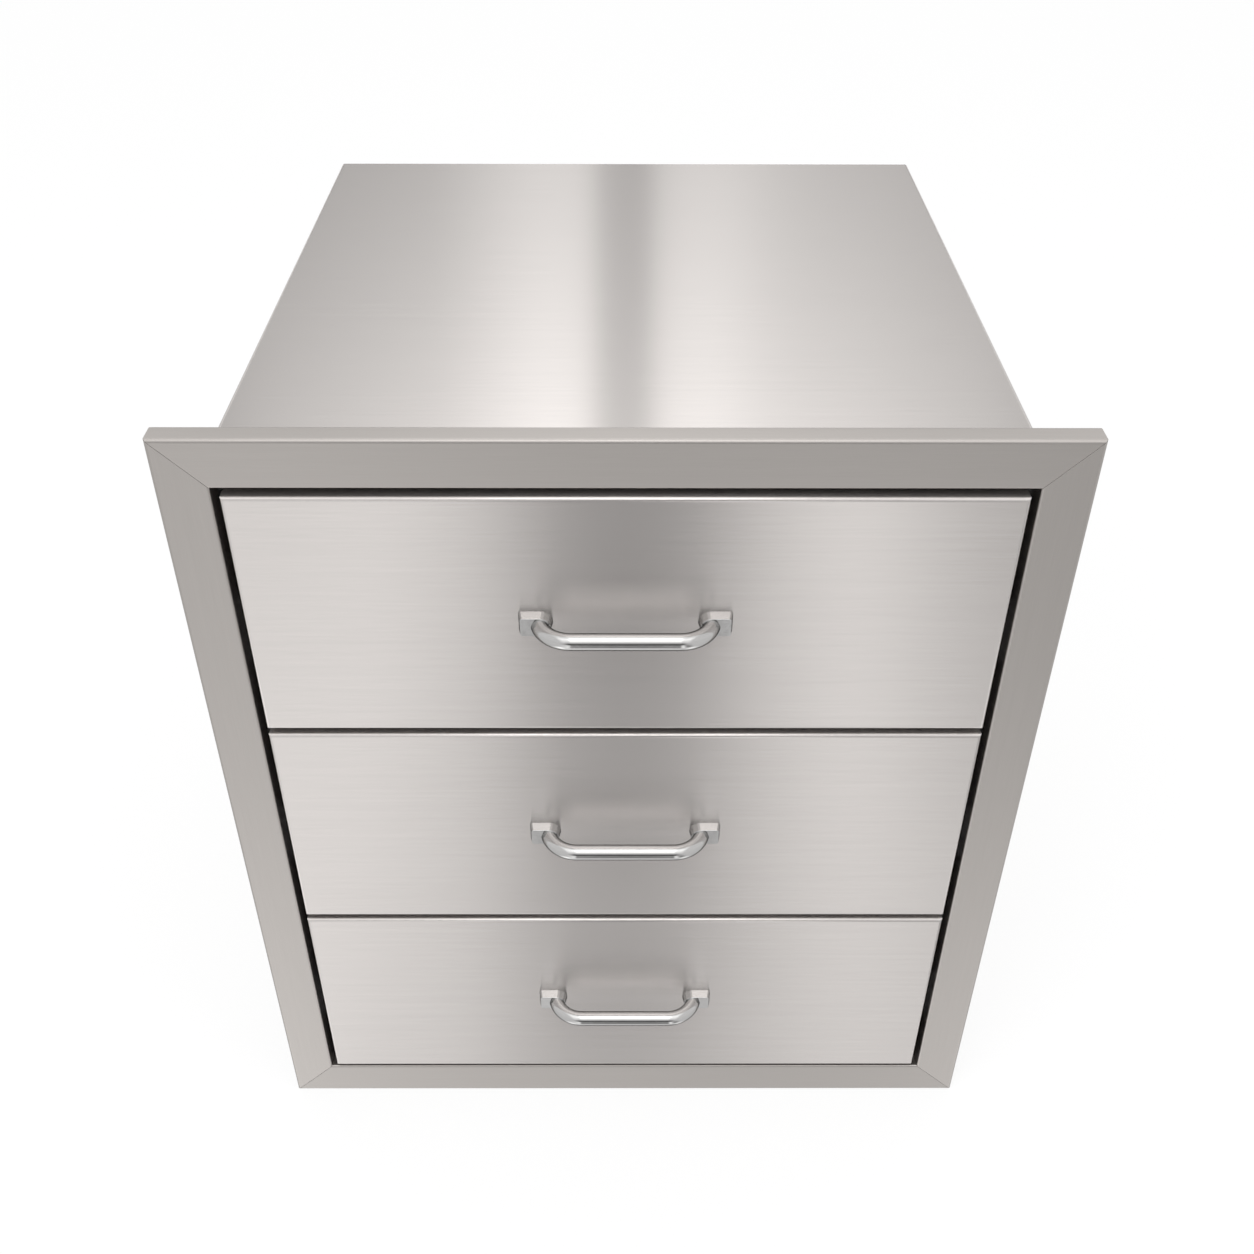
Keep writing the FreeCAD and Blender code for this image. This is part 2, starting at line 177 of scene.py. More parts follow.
class Workpiece:
    """One mesh in the making."""

    def __init__(self) -> None:
        """Start with an empty mesh."""
        self.bm = bmesh.new()

    def folded(
        self,
        path: Sequence[Spot],
        along: Axis,
        limits: Spot,
        sheet: float,
        radii: Sequence[float],
        segments: int = 4,
        holes: Callable[["Workpiece"], None] | None = None,
    ) -> "Workpiece":
        """Sheet folded along a path, which it lies behind.

        Args:
            path: Section points of the sheet's drawn side.
            along: Axis that the section is drawn out along.
            limits: The sheet's two ends on that axis.
            sheet: Thickness. A negative one lies on the other side of the path.
            radii: Radius of the drawn side at each fold.
            segments: Steps in each fold.
            holes: Cuts the flat skin before it gets its thickness.

        Returns:
            The workpiece itself.
        """
        part = Workpiece()
        bm = part.bm
        row = [bm.verts.new(along.place(spot, limits[0])) for spot in path]
        edges = [bm.edges.new(pair) for pair in zip(row, row[1:])]
        drawn = bmesh.ops.extrude_edge_only(bm, edges=edges)["geom"]
        part.advance(drawn, along.unit * (limits[1] - limits[0]))
        for spot, radius in zip(path[1:-1], radii):
            part.bevel(part.edges_at(spot, along), radius, segments, clamp=False)
        if holes is not None:
            holes(part)
        bm.normal_update()
        bmesh.ops.solidify(bm, geom=list(bm.faces), thickness=sheet)
        return self.join(part)

    def advance(self, geometry: Iterable[Any], way: Point) -> list[bmesh.types.BMVert]:
        """Move the vertices of some geometry, such as an extrusion's, and return them."""
        ahead = [item for item in geometry if isinstance(item, bmesh.types.BMVert)]
        bmesh.ops.translate(self.bm, verts=ahead, vec=way)
        return ahead

    def edges_at(self, spot: Spot, along: Axis) -> Edges:
        """Edges that run along the axis through a corner of the section."""
        corner = along.place(spot, 0.0)

        def off(point: Vector) -> float:
            """Distance of a point from the line through the corner."""
            return (point - corner - along.unit * (point - corner).dot(along.unit)).length

        return [e for e in self.bm.edges if all(off(v.co) < 1e-4 for v in e.verts)]

    def hole(self, centre: Point, across: Axis, radius: float, margin: float) -> None:
        """Round hole in a flat skin.

        Args:
            centre: Middle of the hole, on the skin.
            across: Axis that is square to the skin there.
            radius: Radius of the hole.
            margin: Half the side of the square that is opened round it.
        """
        bm = self.bm
        middle = Vector(centre)
        for other in (axis for axis in Axis if axis is not across):
            for side in (-1, 1):
                near = [
                    f for f in bm.faces
                    if abs((f.calc_center_median() - middle).dot(across.unit)) < 0.01
                ]
                edges = {e for f in near for e in f.edges}
                geom = near + list(edges) + list({v for f in near for v in f.verts})
                bmesh.ops.bisect_plane(
                    bm, geom=geom, dist=1e-5, plane_no=other.unit,
                    plane_co=middle + other.unit * side * margin,
                )
        square = min(bm.faces, key=lambda f: (f.calc_center_median() - middle).length)
        loop = list(square.edges)
        bmesh.ops.delete(bm, geom=[square], context="FACES_ONLY")
        ring = bmesh.ops.create_circle(
            bm, cap_ends=False, radius=radius, segments=20, matrix=across.stand(middle)
        )["verts"]
        edges = list({e for v in ring for e in v.link_edges})
        bmesh.ops.bridge_loops(bm, edges=loop + edges)

    def block(self, low: Point, high: Point) -> "Workpiece":
        """Add a box between two corners, and return the workpiece itself."""
        size = Vector(high) - Vector(low)
        matrix = Matrix.Translation((Vector(low) + Vector(high)) / 2) @ Matrix.Diagonal((*size, 1.0))
        bmesh.ops.create_cube(self.bm, size=1.0, matrix=matrix)
        return self

    def drum(
        self, centre: Point, along: Axis, radii: Spot, length: float, segments: int = 24
    ) -> "Workpiece":
        """Add a drum round its middle, with the radii of its low and high end, and return the workpiece."""
        bmesh.ops.create_cone(
            self.bm, cap_ends=True, segments=segments, radius1=radii[0], radius2=radii[1],
            depth=length, matrix=along.stand(centre),
        )
        return self

    def outline(
        self, spots: Sequence[Spot], along: Axis, limits: Spot, round_at: dict[int, float], steps: int = 5
    ) -> "Workpiece":
        """Add a plate with a drawn outline.

        Args:
            spots: Corners of the outline in order.
            along: Axis through the plate's thickness.
            limits: The plate's two faces on that axis.
            round_at: Radius of each rounded corner, by its number.
            steps: Steps of each rounded corner.

        Returns:
            The workpiece itself.
        """
        part = Workpiece()
        corners = [part.bm.verts.new(along.place(spot, limits[0])) for spot in spots]
        face = part.bm.faces.new(corners)
        drawn = bmesh.ops.extrude_face_region(part.bm, geom=[face])["geom"]
        part.advance(drawn, along.unit * (limits[1] - limits[0]))
        for number, radius in round_at.items():
            part.bevel(part.edges_at(spots[number], along), radius, steps)
        return self.join(part)

    def pan(
        self, low: Point, high: Point, open_way: float, sheet: float, rim: float, corner: float
    ) -> "Workpiece":
        """Add a sheet pan with a flange on all four sides.

        Args:
            low: Its lowest corner.
            high: Its highest corner.
            open_way: 1 where it is open towards the back of the unit, and -1 towards the front.
            sheet: Thickness.
            rim: Radius round its closed face.
            corner: Radius of its four upright corners.

        Returns:
            The workpiece itself.
        """
        part = Workpiece().block(low, high)
        mouth = [f for f in part.bm.faces if f.normal.y * open_way > 0.9]
        bmesh.ops.delete(part.bm, geom=mouth, context="FACES_ONLY")
        closed = low[1] if open_way > 0 else high[1]
        rounds = [
            (corner, 3, lambda: [e for e in part.bm.edges if abs(e.verts[0].co.y - e.verts[1].co.y) > 3.0]),
            (rim, 5, lambda: part.edges_in(Axis.Y, closed)),
        ]
        # The larger radius goes first, because the smaller one would cut it short.
        for radius, steps, edges in sorted(rounds, key=lambda r: r[0], reverse=True):
            part.bevel(edges(), radius, steps)
        part.bm.normal_update()
        bmesh.ops.solidify(part.bm, geom=list(part.bm.faces), thickness=sheet)
        return self.join(part)

    def bevel(
        self, edges: Edges, size: float, segments: int, clamp: bool = True
    ) -> "Workpiece":
        """Round the given edges by a size in steps, and return the workpiece itself."""
        bmesh.ops.bevel(
            self.bm, geom=edges, offset=size, offset_type="OFFSET", segments=segments,
            profile=0.5, affect="EDGES", material=-1, clamp_overlap=clamp,
        )
        return self

    def break_edges(self, size: float = 0.12, segments: int = 1) -> "Workpiece":
        """Take the sharpness off cut edges by a size in steps, and return the workpiece itself."""
        bmesh.ops.recalc_face_normals(self.bm, faces=list(self.bm.faces))
        least = math.radians(CUT_ANGLE)
        sharp = [e for e in self.bm.edges if e.is_manifold and e.calc_face_angle(0.0) > least]
        return self.bevel(sharp, size, segments)

    def edges_in(self, axis: Axis, place: float) -> Edges:
        """Edges that lie in the plane at a place on an axis."""
        return [
            e for e in self.bm.edges
            if all(abs(v.co.dot(axis.unit) - place) < 1e-3 for v in e.verts)
        ]

    def cut(self, point: Point, outwards: Point) -> "Workpiece":
        """Cut off all that lies beyond a plane, and close the cut.

        Args:
            point: A point of the plane.
            outwards: Its normal, towards what is cut off.

        Returns:
            The workpiece itself.
        """
        bm = self.bm
        geom = list(bm.verts) + list(bm.edges) + list(bm.faces)
        bmesh.ops.bisect_plane(
            bm, geom=geom, dist=1e-5, plane_co=point, plane_no=outwards, clear_outer=True
        )
        rim = [e for e in bm.edges if e.is_boundary]
        bmesh.ops.holes_fill(bm, edges=rim, sides=0)
        return self

    def join(self, other: "Workpiece", matrix: Matrix | None = None) -> "Workpiece":
        """Add another workpiece, moved by a matrix, and return the workpiece itself."""
        mesh = bpy.data.meshes.new("joining")
        other.bm.to_mesh(mesh)
        if matrix is not None:
            mesh.transform(matrix)
        self.bm.from_mesh(mesh)
        bpy.data.meshes.remove(mesh)
        return self

    def turned(self, axis: Axis, angle: float) -> "Workpiece":
        """Turn everything about an axis through the origin, and return the workpiece itself."""
        turn = Matrix.Rotation(math.radians(angle), 3, axis.unit)
        bmesh.ops.rotate(self.bm, verts=list(self.bm.verts), cent=(0.0, 0.0, 0.0), matrix=turn)
        return self

    def paired(self) -> "Workpiece":
        """Add the same shape on the other side of the unit, and return the workpiece itself."""
        return self.join(self, OTHER_SIDE)

    def mirrored(self) -> "Workpiece":
        """The same shape on the other side of the unit, as a new workpiece."""
        return Workpiece().join(self, OTHER_SIDE)

    def finished(
        self,
        name: str,
        finish: "Finish",
        body: str,
        replaces: Sequence[str] = (),
        sharp: float = 40.0,
    ) -> None:
        """Make the mesh an object of the model.

        Args:
            name: Name of the piece.
            finish: Finish that it gets.
            body: Body of the frame that it rides on.
            replaces: Nodes of the frame that it stands for.
            sharp: Least angle at which an edge is shaded sharp.
        """
        bm = self.bm
        bmesh.ops.remove_doubles(bm, verts=list(bm.verts), dist=1e-4)
        bmesh.ops.recalc_face_normals(bm, faces=list(bm.faces))
        bmesh.ops.scale(bm, vec=(MM, MM, MM), verts=list(bm.verts))
        mesh = bpy.data.meshes.new(name)
        bm.to_mesh(mesh)
        bm.free()
        mesh.shade_smooth()
        mesh.set_sharp_from_angle(angle=math.radians(sharp))
        piece = placed(name, mesh)
        weighted = piece.modifiers.new("face_weighted_shading", "WEIGHTED_NORMAL")
        weighted.keep_sharp = True
        mesh.materials.append(finish.material())
        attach(piece, body)
        if replaces:
            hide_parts(*replaces)
        stands_for = ", ".join(replaces) or "nothing"
        log.info("%s: %d faces on %s, stands for %s", name, len(mesh.polygons), body, stands_for)

    def finished_on_each_side(self, name: str, finish: "Finish", body: str, replaced: str) -> None:
        """Make this right piece and its left mirror image two objects.

        Args:
            name: Name of the pieces, with a place in braces for their side.
            finish: Finish that both get.
            body: Body that each rides on, with such a place where it has one.
            replaced: Node that each stands for, with such a place.
        """
        for side, part in (("left", self.mirrored()), ("right", self)):
            part.finished(name.format(side), finish, body.format(side), [replaced.format(side)])


@dataclass(frozen=True)
class Noise:
    """Pattern whose spots have a given length along each axis, in millimetres."""

    pitch: Point
    octaves: float = 2.0
    seed: float = 0.0

    def source(self, tree: Tree) -> Source:
        """Add the pattern to a node tree, and return its factor."""
        place = node(tree, "TexCoord").outputs["Object"]
        scale = tuple(1.0 / (p * MM) for p in self.pitch)
        mapping = {"Vector": place, "Scale": scale, "Location": (self.seed, self.seed, self.seed)}
        mapped = node(tree, "Mapping", inputs=mapping)
        return node(tree, "TexNoise", inputs={"Vector": mapped, "Scale": 1.0, "Detail": self.octaves})


@dataclass(frozen=True)
class Finish:
    """Surface of a piece. Its material is made once, when a piece first asks for it.

    Two patterns vary it. The roughness follows the first one, from wear below its value to wear above.
    The colour follows the first with a share of the second, and is dark and light at the two tones. The
    relief, a strength and a height in metres, follows the pattern whose number raised gives.
    """

    name: str
    slot: str
    light: str
    dark: str
    roughness: float
    share: float
    tones: Spot
    wear: Spot
    relief: Spot
    noises: tuple[Noise, ...] = ()
    raised: int = 1
    metal: float = 1.0

    def patterns(self) -> tuple[Noise, ...]:
        """The first and the second pattern."""
        return self.noises

    def others(self, tree: Tree) -> dict[str, Any]:
        """Values and sources of the shader's other sockets."""
        return {}

    def material(self) -> bpy.types.Material:
        """The finish's material."""
        known = bpy.data.materials.get(self.name)
        if known is not None:
            return known
        made = bpy.data.materials.new(self.name)
        tree = emptied(made)
        node(tree, "OutputMaterial", inputs={"Surface": self.shade(tree)})
        return made

    def shade(self, tree: Tree) -> Source:
        """Fill the material's tree, and return the shader."""
        sources = [pattern.source(tree) for pattern in self.patterns()]
        first, second = sources
        tone = first
        if self.share:
            tone = node(tree, "Math", {"operation": "MULTIPLY_ADD"}, {0: second, 1: self.share, 2: first})
        colour = ramp(tree, tone, list(zip(self.tones, (self.dark, self.light))))
        limits = {"To Min": self.roughness - self.wear[0], "To Max": self.roughness + self.wear[1]}
        rough = node(tree, "MapRange", inputs={"Value": first, **limits})
        bumps = {"Strength": self.relief[0], "Distance": self.relief[1]}
        bump = node(tree, "Bump", inputs={"Height": sources[self.raised], **bumps})
        inputs = {"Base Color": colour, "Metallic": self.metal, "Roughness": rough, "Normal": bump}
        return node(tree, "BsdfPrincipled", inputs=inputs | self.others(tree))


@dataclass(frozen=True)
class BrushedStainless(Finish):
    """Cold-rolled 304 stainless sheet, ground with a belt: fine lines in one direction.

    The lines draw every reflection out into soft bands that are square to them. Belt lines are about
    0.1 mm apart. They are drawn 0.35 mm apart, as fine as can still show.
    """

    slot: str = "brushed_stainless"
    light: str = "#DCD7D4"
    dark: str = "#D7D2CF"
    roughness: float = 0.20
    share: float = 0.45
    tones: Spot = (0.45, 0.95)
    wear: Spot = (0.006, 0.006)
    relief: Spot = (0.015, 0.0002)
    raised: int = 0
    drawn_out: float = 1.0
    grain: Grain = Grain.ACROSS

    def patterns(self) -> tuple[Noise, ...]:
        """The belt's lines, and clouds that are nine times as large."""
        pitch = self.grain.value[0]
        return Noise(pitch, 3.0), Noise(tuple(p * 9 for p in pitch), 2.0, 7.0)

    def others(self, tree: Tree) -> dict[str, Any]:
        """How far and which way reflections are drawn out."""
        square = node(tree, "CombineXYZ", inputs=dict(zip("XYZ", self.grain.value[1])))
        return {"Anisotropic": self.drawn_out, "Tangent": square}


@dataclass(frozen=True)
class MillStainless(Finish):
    """304 stainless sheet as it leaves the rolls (2B): smooth, grey and faintly cloudy.

    Grease and handling leave clouds of about 40 mm. The rolls leave a 1 mm orange-peel texture.
    """

    slot: str = "plain_stainless"
    light: str = "#B2B1AF"
    dark: str = "#ACABA9"
    roughness: float = 0.34
    share: float = 0.3
    tones: Spot = (0.4, 0.95)
    wear: Spot = (0.01, 0.01)
    relief: Spot = (0.04, 0.0003)
    noises: tuple[Noise, ...] = (Noise((40.0, 40.0, 40.0), 3.0), Noise((1.2, 3.0, 1.2), 2.0, 3.0))


@dataclass(frozen=True)
class PolishedStainless(Finish):
    """Stainless bar and castings, buffed on a mop: nearly a mirror, with faint buffing lines.

    The mop leaves lines of about 0.3 mm, and the bar waves by a few hundredths over 6 mm. A dark tint of
    the light at a low angle paints shade along the outline, so that every edge seen side on is drawn dark.
    """

    slot: str = "polished_stainless"
    light: str = "#D3D2D1"
    dark: str = "#CBCAC9"
    roughness: float = 0.12
    share: float = 0.0
    tones: Spot = (0.3, 0.7)
    wear: Spot = (0.03, 0.05)
    relief: Spot = (0.1, 0.0003)
    noises: tuple[Noise, ...] = (Noise((6.0, 0.3, 0.3)), Noise((6.0, 6.0, 6.0), 1.0, 5.0))
    # Dark tint of the light at a low angle: painted shade along every edge that is seen side on.
    outline: str = "#303030"

    def others(self, tree: Tree) -> dict[str, Any]:
        """Dark tint of the light at a low angle: painted shade along the outline."""
        return {"Specular Tint": linear(self.outline)}


@dataclass(frozen=True)
class RolledSteel(Finish):
    """Cold-rolled steel: rolling lines about 0.5 mm apart run along it, under clouds of 9 mm."""

    light: str = "#BFC4C9"
    dark: str = "#AAAFB5"
    roughness: float = 0.30
    share: float = 0.5
    tones: Spot = (0.5, 1.0)
    wear: Spot = (0.08, 0.08)
    relief: Spot = (0.05, 0.0002)
    noises: tuple[Noise, ...] = (Noise((9.0, 9.0, 9.0), 3.0, 4.0), Noise((0.5, 60.0, 0.5)))


@dataclass(frozen=True)
class Moulded(Finish):
    """Plastic or rubber from a mould: an even colour with a fine eroded texture, 0.35 mm coarse.

    Dust and handling leave patches of about 14 mm.
    """

    light: str = "#2B2B2C"
    dark: str = "#1C1C1D"
    roughness: float = 0.5
    share: float = 0.0
    tones: Spot = (0.3, 0.8)
    wear: Spot = (0.08, 0.1)
    relief: Spot = (0.25, 0.0001)
    noises: tuple[Noise, ...] = (Noise((14.0, 14.0, 14.0), 3.0, 2.0), Noise((0.35, 0.35, 0.35)))
    metal: float = 0.0


# The drawer fronts are ground across the unit, with a coarser belt than the cabinet.
FRONT_GROUND = BrushedStainless("brushed_304_fronts", roughness=0.27)
# The cabinet's wrap is one sheet, so that its lines run across the top and down the sides.
WRAP_GROUND = BrushedStainless("brushed_304_wrap")
# The trim is dressed again after its mitres are welded, so that it is duller and its lines are less even.
RAIL_ACROSS = BrushedStainless(
    "brushed_304_trim_across", light="#BFBAB6", dark="#BBB6B2", roughness=0.40, drawn_out=0.1
)
# The stiles are cut from the same strip as the rails and stand upright.
STILE_UPRIGHT = BrushedStainless(
    "brushed_304_trim_upright", light="#BFBAB6", dark="#BBB6B2", roughness=0.36, drawn_out=0.6,
    grain=Grain.UPRIGHT,
)
# The floor, back, uprights and drawer boxes are left as the sheet comes from the mill.
MILL = MillStainless("rolled_304_stainless_2b")
# The handle bars are round rod, buffed after it is bent. Their edges get the painted shade along the
# outline.
POLISHED = PolishedStainless("buffed_304_stainless")
# The cast bases are buffed like the bar, and their metal is a little darker. They get the same painted shade
# along the outline.
BASE_POLISH = PolishedStainless("buffed_stainless_casting", light="#CFCECD", dark="#C8C7C6")
# Zinc plate on the slide members gives the eye a bluish, slightly cloudy white metal.
ZINC = RolledSteel("bright_zinc_plated_steel", slot="slide_steel")
# Cage strip is bare cold-rolled steel under a film of oil, darker and yellower than the zinc.
CAGE = RolledSteel(
    "oiled_cold_rolled_strip", slot="cage_steel", light="#A8A49C", dark="#8A867E", roughness=0.28
)
# Screws are cold-headed from stainless wire and left as they are.
SCREW = RolledSteel("cold_headed_stainless", slot="screw_steel", light="#B2B1AF", dark="#94938F")
# The levers are moulded acetal, black and slightly waxy.
LEVER = Moulded("moulded_black_acetal", slot="lever_plastic", roughness=0.45)
# The stops are moulded rubber, dull and faintly grey with bloom.
RUBBER = Moulded(
    "moulded_black_rubber", slot="stop_rubber", light="#343433", dark="#222221", roughness=0.8
)


@dataclass
class Trim:
    """Four mitred channels round the opening."""

    width: float = 508.0
    height: float = 577.0
    face: float = 30.0
    depth: float = 15.0
    sheet: float = 1.2
    bends: tuple[float, float, float] = (1.8, 2.3, 1.5)
    back: float = 12.0
    seat: float = 10.0
    middle: float = 266.0
    seam: float = 0.12
    broken: float = 0.08

    def rail(self, length: float, reach: float) -> Workpiece:
        """One channel, drawn as the top one round the frame's centre.

        Args:
            length: Its length at the outer edge.
            reach: Distance of that edge from the centre.

        Returns:
            The channel, mitred at both ends.
        """
        path = [
            (0.0, reach - self.seat),
            (0.0, reach),
            (-self.depth, reach),
            (-self.depth, reach - self.face),
            (self.back - self.depth, reach - self.face),
        ]
        half = length / 2
        rail = Workpiece().folded(path, Axis.X, (-half, half), -self.sheet, self.bends, 5)
        for side in (-1, 1):
            rail.cut((side * (half - self.seam), 0.0, reach), (side, 0.0, -1.0))
        return rail.break_edges(self.broken)

    def make(self) -> None:
        """Build and dress the four channels."""
        for name, length, reach, turn, finish in (
            ("top", self.width, self.height / 2, 0.0, RAIL_ACROSS),
            ("right", self.height, self.width / 2, 90.0, STILE_UPRIGHT),
            ("bottom", self.width, self.height / 2, 180.0, RAIL_ACROSS),
            ("left", self.height, self.width / 2, 270.0, STILE_UPRIGHT),
        ):
            rail = self.rail(length, reach).turned(Axis.Y, turn)
            rail.advance(rail.bm.verts, (0.0, 0.0, self.middle))
            rail.finished(f"{name}_trim_channel", finish, "cabinet", [f"trim_{name}"])


@dataclass
class Cabinet:
    """Folded wrap, floor and back, with the uprights that carry the slides."""

    half: float = 231.5
    height: float = 532.0
    front: float = -13.8
    depth: float = 477.0
    sheet: float = 1.0
    bend: float = 1.5
    floor_flange: float = 15.0
    back_flange: float = 14.0
    back_round: float = 2.5
    hole_radius: float = 2.75
    hole_margin: float = 6.0
    hole_front: float = 105.0
    hole_heights: Spot = (111.0, 452.0)
    upright_fronts: Spot = (12.0, 400.0)
    upright_web: float = 35.0
    upright_flange: float = 12.0
    upright_bend: float = 0.6
    upright_limits: Spot = (17.0, 527.5)
    web_side: float = 223.3
    rivet_radii: Spot = (2.4, 2.0)
    rivet_head: float = 0.9
    rivet_soft: float = 0.35
    pin_radii: Spot = (0.8, 0.6)
    pin_out: float = 0.7
    rivet_heights: tuple[float, ...] = (40.0, 150.0, 266.0, 382.0, 492.0)

    def wrap(self) -> Workpiece:
        """Top and both sides, one sheet, with the fixing holes in its sides."""

        def drill(part: Workpiece) -> None:
            """Open the holes in both sides of the skin."""
            for side in (-1, 1):
                for height in self.hole_heights:
                    spot = (side * self.half, self.hole_front, height)
                    part.hole(spot, Axis.X, self.hole_radius, self.hole_margin)

        c, h = self.half, self.height
        return Workpiece().folded(
            [(-c, 0.0), (-c, h), (c, h), (c, 0.0)], Axis.Y, (self.front, self.depth), -self.sheet,
            [self.bend + self.sheet] * 2, 5, drill,
        ).break_edges()

    def floor(self) -> Workpiece:
        """Floor with its side flanges turned up."""
        i, up = self.half - self.sheet, self.floor_flange
        return Workpiece().folded(
            [(-i, up), (-i, 0.0), (i, 0.0), (i, up)], Axis.Y,
            (self.front, self.depth - self.back_flange), self.sheet, [self.bend + self.sheet] * 2,
        ).break_edges()

    def back(self) -> Workpiece:
        """Back with a flange on all four sides."""
        i = self.half - self.sheet
        low = (-i, self.depth - self.back_flange, 0.0)
        high = (i, self.depth, self.height - self.sheet)
        rounds = (self.back_round, self.back_round)
        return Workpiece().pan(low, high, -1.0, self.sheet, *rounds).break_edges()

    def upright(self, front: float) -> Workpiece:
        """Hat channel on the right wall, its web towards the drawers."""
        flat = self.half - 2 * self.sheet
        a, b = front + self.upright_flange, front + self.upright_flange + self.upright_web
        path = [
            (flat, front), (flat, a), (self.web_side, a), (self.web_side, b), (flat, b),
            (flat, b + self.upright_flange),
        ]
        inner, outer = self.upright_bend, self.upright_bend + self.sheet
        return Workpiece().folded(
            path, Axis.Z, self.upright_limits, self.sheet, [inner, outer, outer, inner], 3
        ).break_edges()

    def rivets(self) -> Workpiece:
        """Blind rivets that hold the back's flanges to both sides."""
        heads = Workpiece()
        place, tall = self.depth - self.back_flange / 2, self.rivet_head
        for height in self.rivet_heights:
            middle = (self.half + tall / 2, place, height)
            head = Workpiece().drum(middle, Axis.X, self.rivet_radii, tall, 20)
            head.bevel(head.edges_in(Axis.X, self.half + tall), self.rivet_soft, 3)
            head.drum((self.half + self.pin_out, place, height), Axis.X, self.pin_radii, tall, 12)
            heads.join(head)
        return heads.paired()

    def make(self) -> None:
        """Build and dress the cabinet's pieces."""
        self.wrap().finished("folded_wrap", WRAP_GROUND, "cabinet", ["cabinet_wrap"])
        self.floor().finished("flanged_floor", MILL, "cabinet", ["cabinet_floor"])
        self.back().finished("flanged_back", MILL, "cabinet", ["cabinet_back"])
        for place, front in zip(("front", "rear"), self.upright_fronts):
            self.upright(front).finished_on_each_side(
                f"{place}_hat_channel_{{}}", MILL, "cabinet", f"upright_{place}_{{}}"
            )
        self.rivets().finished("back_rivets", SCREW, "cabinet")


@dataclass
class DrawerPart:
    """Sub-assembly of one drawer, whose pieces, bodies and nodes carry the drawer's name."""

    name: str

    def dressed(
        self, part: Workpiece, piece: str, finish: Finish, node_name: str, body: str = "drawer",
        sharp: float = 40.0,
    ) -> None:
        """Finish a workpiece, with the drawer's name before each name."""
        name, rides_on, replaced = (f"{self.name}_{text}" for text in (piece, body, node_name))
        part.finished(name, finish, rides_on, [replaced], sharp)


@dataclass
class Front(DrawerPart):
    """Shell and liner of one drawer's front."""

    low: float
    half: float = 219.5
    height: float = 166.3333
    face: float = -17.0
    rear: float = 1.0
    sheet: float = 1.0
    rim: float = 2.4
    corner: float = 0.5
    liner_rim: float = 1.6
    liner_flange: float = 8.0

    def make(self) -> None:
        """Build and dress the front."""
        high, inner, s = self.low + self.height, self.half - self.sheet, self.sheet
        shell = Workpiece().pan(
            (-self.half, self.face, self.low), (self.half, self.rear, high),
            1.0, s, self.rim, self.corner,
        )
        self.dressed(shell.break_edges(), "front_pan", FRONT_GROUND, "front_shell")
        liner = Workpiece().pan(
            (-inner, self.rear - self.liner_flange, self.low + s), (inner, self.rear, high - s),
            -1.0, s, self.liner_rim, self.corner,
        )
        self.dressed(liner.break_edges(), "front_inner_skin", MILL, "front_liner")


@dataclass
class Box(DrawerPart):
    """Tray and back of one drawer's box."""

    low: float
    half: float = 210.6
    front: float = 1.0
    rear: float = 441.0
    height: float = 120.0
    sheet: float = 1.0
    bend: float = 0.8
    rim: float = 10.0
    drop: float = 7.0
    foot: float = 12.0
    relief: float = 0.3
    slack: float = 0.5

    def tray(self) -> Workpiece:
        """Bottom and both sides with rolled rims, notched at the rear for the back's rim."""
        low, high, lip = self.low, self.low + self.height, self.half - self.rim
        notch = self.rear - self.rim - self.relief

        def cut_notches(part: Workpiece) -> None:
            """Take the rims off the skin where the back's rim goes."""
            bm = part.bm
            geom = list(bm.verts) + list(bm.edges) + list(bm.faces)
            bmesh.ops.bisect_plane(bm, geom=geom, dist=1e-5, plane_co=(0, notch, 0), plane_no=(0, 1, 0))
            middles = {face: face.calc_center_median() for face in bm.faces}
            least, most = high - self.drop - self.sheet, self.half - self.sheet - self.slack
            gone = [f for f, m in middles.items() if m.y > notch and m.z > least and abs(m.x) < most]
            bmesh.ops.delete(bm, geom=gone, context="FACES")

        left = [(-lip, high - self.drop), (-lip, high), (-self.half, high), (-self.half, low)]
        path = left + [(-x, z) for x, z in reversed(left)]
        bends = [self.bend + self.sheet] * 6
        return Workpiece().folded(
            path, Axis.Y, (self.front, self.rear), self.sheet, bends, 4, cut_notches
        ).break_edges()

    def back(self) -> Workpiece:
        """Back with its foot on the tray's bottom and its rim rolled forward."""
        low, high = self.low + self.sheet, self.low + self.height
        path = [
            (self.rear - self.foot, low), (self.rear, low), (self.rear, high),
            (self.rear - self.rim, high), (self.rear - self.rim, high - self.drop),
        ]
        inside = self.half - self.sheet - self.relief
        return Workpiece().folded(
            path, Axis.X, (-inside, inside), -self.sheet, [self.bend + self.sheet] * 3
        ).break_edges()

    def make(self) -> None:
        """Build and dress the box."""
        self.dressed(self.tray(), "folded_tray", MILL, "box_tray")
        self.dressed(self.back(), "tray_back", MILL, "box_back")


